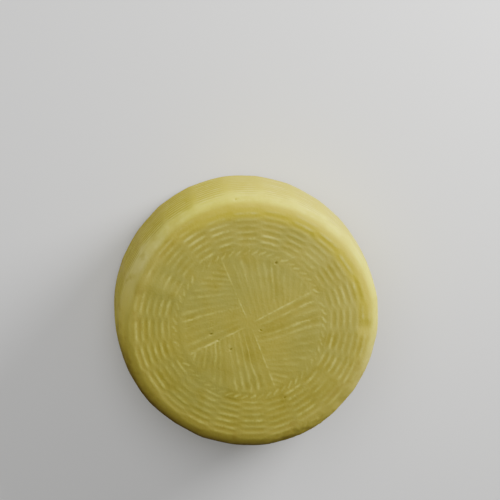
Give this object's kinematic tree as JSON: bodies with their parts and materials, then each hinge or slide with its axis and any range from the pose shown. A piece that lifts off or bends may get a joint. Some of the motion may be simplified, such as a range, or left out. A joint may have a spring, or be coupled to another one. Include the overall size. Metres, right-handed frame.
{
  "type": "basket-pressed cheese wheel",
  "caption": "Whole wheel of pecorino lying flat, with a golden rind that keeps the woven print of its basket on faces, edge and wall",
  "frame": {"origin": "centre of the bounding box in plan, at the underside that the wheel rests on", "axes": "+Z up through the thickness to the printed upper face; +X to the right and +Y up as the picture shows that face"},
  "size_m": [0.1992, 0.2004, 0.075],
  "materials": {
    "rind": "natural cheese rind, olive gold, slightly waxy, paler along the crests of the basket print"
  },
  "bodies": {
    "root": {"pecorino_wheel": "rind"}
  },
  "joints": []
}
